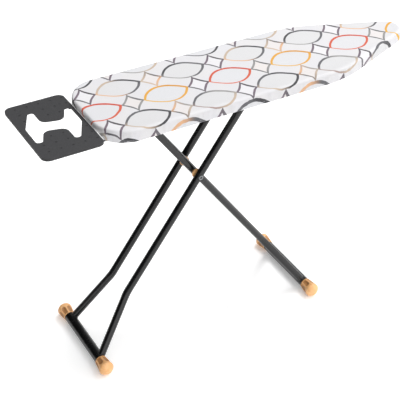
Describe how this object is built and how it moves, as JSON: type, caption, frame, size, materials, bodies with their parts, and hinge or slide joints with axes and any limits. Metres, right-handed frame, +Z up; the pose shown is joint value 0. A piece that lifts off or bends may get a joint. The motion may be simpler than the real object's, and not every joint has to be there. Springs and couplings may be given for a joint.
{
  "type": "ironing board",
  "caption": "Free-standing folding ironing board: padded tapered top with a printed cover, pressed-steel iron tray, scissor legs with foot bars and a release lever.",
  "frame": {"origin": "on the floor, below the middle of the overall length, on the board's centre line", "axes": "+X from the square heel and iron tray to the rounded nose, +Y to the left seen from the heel, +Z up"},
  "size_m": [1.34, 0.368, 0.8955],
  "materials": {
    "printed_cotton": "white cotton with a printed trellis of outlined leaves",
    "felt": "matt",
    "black_steel": "satin black powder coat",
    "grey_enamel": "matt dark grey",
    "dark_steel": "satin",
    "zinc_steel": "satin",
    "bright_steel": "satin",
    "bright_cap": "polished",
    "tan_plastic": "satin, wood-coloured",
    "black_plastic": "satin",
    "white_nylon": "satin",
    "rubber": "matt"
  },
  "bodies": {
    "deck": {"deck_sheet": "zinc_steel", "deck_rim": "dark_steel", "felt_pad": "felt", "cotton_cover": "printed_cotton", "cross_braces": "dark_steel", "guide_rail_left": "zinc_steel", "guide_rail_right": "zinc_steel", "hinge_bracket": "dark_steel", "tray_arm_left": "black_steel", "tray_arm_right": "black_steel", "iron_tray": "grey_enamel", "tray_rivets": "grey_enamel", "lever_bracket": "dark_steel", "lever_pin": "bright_steel", "lever_spring": "bright_steel"},
    "lever": {"release_lever": "zinc_steel", "brake_lining": "rubber", "lever_grip": "black_plastic"},
    "inner_leg": {"inner_leg_tube_left": "black_steel", "inner_leg_tube_right": "black_steel", "inner_leg_foot_bar": "black_steel", "hinge_rod": "bright_steel", "hinge_spacers": "black_plastic", "hinge_rod_caps": "black_plastic", "inner_leg_plugs": "black_plastic", "pivot_washers": "tan_plastic", "pivot_sleeve": "black_plastic", "nose_foot_left": "tan_plastic", "nose_foot_right": "tan_plastic"},
    "outer_leg": {"outer_leg_tube_left": "black_steel", "outer_leg_tube_right": "black_steel", "outer_leg_foot_bar": "black_steel", "slide_rod": "bright_steel", "slide_rollers": "white_nylon", "outer_leg_plugs": "black_plastic", "pivot_rod": "dark_steel", "pivot_rivet_caps": "bright_cap", "heel_foot_left": "tan_plastic", "heel_foot_right": "tan_plastic"}
  },
  "joints": [
    {"name": "leg_fold", "type": "hinge", "parent": "deck", "child": "inner_leg", "pos_m": [-0.32519, 0, 0.864], "axis": [0, -1, 0], "range_deg": [0, 50]},
    {"name": "scissor_pivot", "type": "hinge", "parent": "inner_leg", "child": "outer_leg", "pos_m": [-0.12, 0, 0.582], "axis": [0, 1, 0], "range_deg": [0, 100]},
    {"name": "lever_release", "type": "hinge", "parent": "deck", "child": "lever", "pos_m": [0.04, 0, 0.8572], "axis": [0, 1, 0], "range_deg": [0, 3], "stiffness_Nm_per_rad": 4, "springref_deg": -22.92, "deforming": ["lever_spring"]}
  ],
  "couplings": [
    {"joint": "scissor_pivot", "follows": "leg_fold", "ratio": 2}
  ]
}
